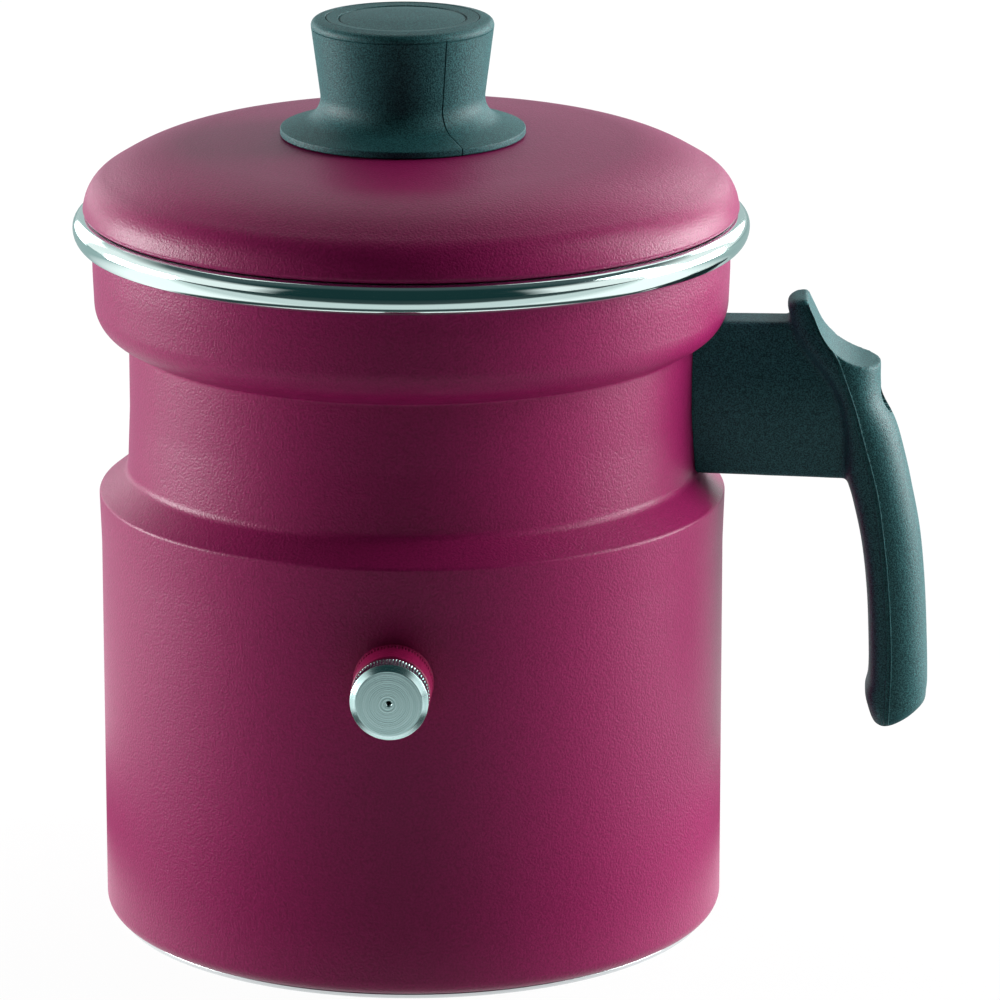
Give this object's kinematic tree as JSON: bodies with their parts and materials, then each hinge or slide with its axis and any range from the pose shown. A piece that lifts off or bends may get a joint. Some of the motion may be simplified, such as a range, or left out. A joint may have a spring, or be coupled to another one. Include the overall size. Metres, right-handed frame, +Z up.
{
  "type": "water-jacketed milk boiler",
  "caption": "Double-walled milk boiler with a waisted coated jacket, screwed filler plug, nested inner vessel, bright rim bead, domed lift-off lid with flared knob, and side handle.",
  "frame": {"origin": "on the pot's axis, in the plane of the base plate's underside that it stands on", "axes": "+Z up along the pot's axis; the handle points along +X; the filler plug points along -Y"},
  "size_m": [0.1925, 0.1611, 0.2067],
  "materials": {
    "red_coat": "wine-red fine-textured satin coat on aluminium",
    "bare_steel": "turned",
    "polished_steel": "polished",
    "turned_steel": "face turned, rim knurled",
    "plated_screw": "zinc plated",
    "spun_aluminium": "spun, satin",
    "black_phenolic": "moulded, fine matt",
    "brass": "turned",
    "silicone": "matt"
  },
  "bodies": {
    "pot": {"base_plate": "bare_steel", "outer_jacket": "red_coat", "inner_vessel": "spun_aluminium", "rim_ring": "polished_steel", "filler_boss": "red_coat", "handle_lug": "spun_aluminium", "handle": "black_phenolic", "handle_washer": "plated_screw", "handle_screw": "plated_screw"},
    "lid": {"lid_shell": "red_coat", "knob": "black_phenolic", "knob_cap": "black_phenolic", "knob_insert": "brass", "knob_washer": "plated_screw", "knob_screw": "plated_screw"},
    "seal": {"plug_seal": "silicone"},
    "plug": {"filler_plug": "turned_steel"}
  },
  "joints": [
    {"name": "lid_lift", "type": "slide", "parent": "pot", "child": "lid", "axis": [0, 0, 1], "range_m": [0, 0.05]},
    {"name": "plug_travel", "type": "slide", "parent": "pot", "child": "seal", "axis": [0, -1, 0], "range_m": [0, 0.012]},
    {"name": "plug_turn", "type": "hinge", "parent": "seal", "child": "plug", "pos_m": [0, -0.0802, 0.0732], "axis": [0, -1, 0], "range_deg": [0, 2880]}
  ],
  "couplings": [
    {"joint": "plug_travel", "follows": "plug_turn", "m_per_rad": 0.00023873}
  ]
}
